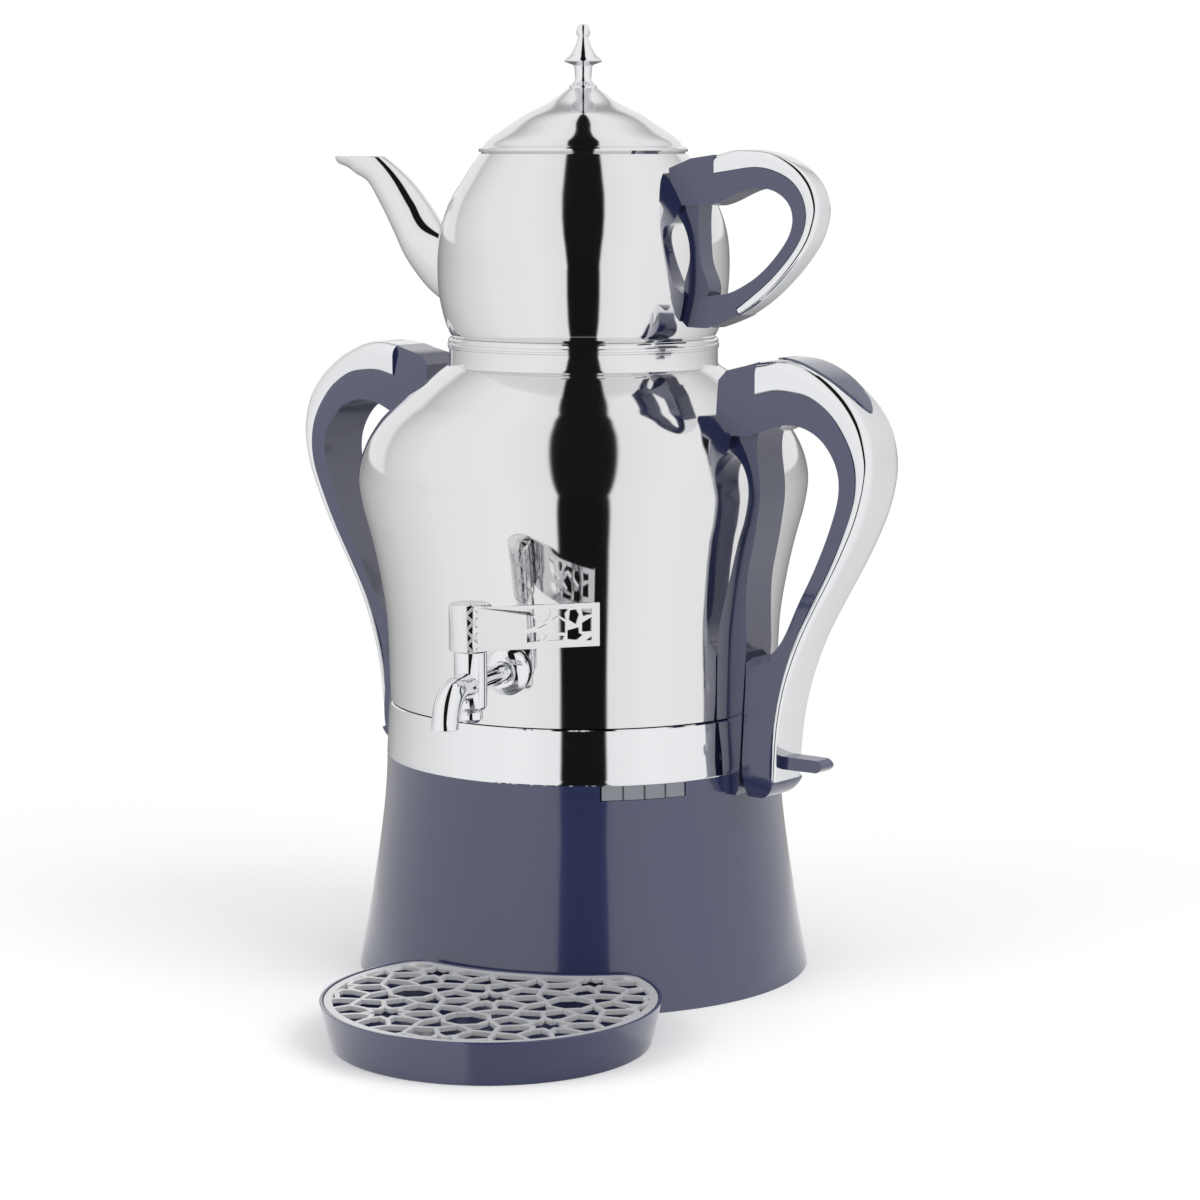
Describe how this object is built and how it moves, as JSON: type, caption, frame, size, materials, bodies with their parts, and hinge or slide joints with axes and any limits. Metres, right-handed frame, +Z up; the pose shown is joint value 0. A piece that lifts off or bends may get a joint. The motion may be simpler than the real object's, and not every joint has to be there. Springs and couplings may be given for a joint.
{
  "type": "samovar",
  "caption": "Electric samovar: a steel kettle with a lever tap on a moulded base, two carrying handles, a teapot on its neck and a drip tray.",
  "frame": {"origin": "on the kettle's axis, at the surface that the base stands on", "axes": "+Z up along the kettle's axis; the carrying handles lie along X, the teapot's spout towards -X; the tap and drip tray look towards -Y"},
  "size_m": [0.3432, 0.3317, 0.45],
  "materials": {
    "navy_plastic": "glossy navy",
    "plated_plastic": "bright chrome plating on a moulding",
    "polished_steel": "mirror-polished stainless steel",
    "chrome_brass": "bright chrome on cast brass",
    "plug_brass": "turned",
    "zinc_steel": "zinc plated",
    "black_plastic": "matte",
    "black_rubber": "matte",
    "window_plastic": "translucent smoke",
    "lamp_plastic": "clear lens",
    "board": "solder mask",
    "heater_aluminium": "cast",
    "element_steel": "dull"
  },
  "bodies": {
    "samovar": {"base_shell": "navy_plastic", "base_plate": "black_plastic", "base_screws": "zinc_steel", "rubber_foot_1": "black_rubber", "rubber_foot_2": "black_rubber", "rubber_foot_3": "black_rubber", "rubber_foot_4": "black_rubber", "lead_bush": "black_plastic", "base_band": "plated_plastic", "kettle_shell": "polished_steel", "kettle_floor": "polished_steel", "heater_plate": "heater_aluminium", "heating_element": "element_steel", "thermostat": "element_steel", "thermal_cutout": "black_plastic", "indicator_window": "window_plastic", "lamp_holder": "black_plastic", "indicator_lamps": "lamp_plastic", "control_board": "board", "left_handle_core": "navy_plastic", "left_handle_cover": "plated_plastic", "right_handle_core": "navy_plastic", "right_handle_cover": "plated_plastic", "thumb_pad": "navy_plastic", "handle_studs": "zinc_steel", "handle_screws": "zinc_steel", "microswitch": "black_plastic", "switch_pin": "zinc_steel", "tap_body": "chrome_brass", "tap_rosette": "chrome_brass", "tap_washer": "black_rubber", "tap_nut": "chrome_brass"},
    "tap_handle": {"tap_plug": "plug_brass", "tap_cap": "chrome_brass", "tap_lever": "chrome_brass", "tap_end_nut": "chrome_brass"},
    "switch": {"switch_paddle": "navy_plastic"},
    "steam_ring": {"steam_ring": "polished_steel"},
    "teapot": {"teapot_shell": "polished_steel", "teapot_base": "polished_steel", "teapot_spout": "polished_steel", "teapot_handle_core": "navy_plastic", "teapot_handle_cover": "plated_plastic", "teapot_handle_studs": "zinc_steel"},
    "lid": {"teapot_lid": "polished_steel", "lid_knob": "chrome_brass", "lid_nut": "chrome_brass"},
    "tray": {"drip_tray": "navy_plastic"},
    "grille": {"tray_grille": "plated_plastic"}
  },
  "joints": [
    {"name": "tap_turn", "type": "hinge", "parent": "samovar", "child": "tap_handle", "pos_m": [0.03997, -0.13073, 0.17], "axis": [0, 0, -1], "range_deg": [0, 90]},
    {"name": "switch_flip", "type": "hinge", "parent": "samovar", "child": "switch", "pos_m": [0.1035, 0, 0.1115], "axis": [0, -1, 0], "range_deg": [0, 20]},
    {"name": "steam_ring_lift", "type": "slide", "parent": "samovar", "child": "steam_ring", "axis": [0, 0, 1], "range_m": [0, 0.12]},
    {"name": "teapot_lift", "type": "slide", "parent": "steam_ring", "child": "teapot", "axis": [0, 0, 1], "range_m": [0, 0.15]},
    {"name": "lid_lift", "type": "slide", "parent": "teapot", "child": "lid", "axis": [0, 0, 1], "range_m": [0, 0.08]},
    {"name": "tray_slide", "type": "slide", "parent": "samovar", "child": "tray", "axis": [0.3907, -0.9205, 0], "range_m": [0, 0.1]},
    {"name": "grille_lift", "type": "slide", "parent": "tray", "child": "grille", "axis": [0, 0, 1], "range_m": [0, 0.06]}
  ]
}
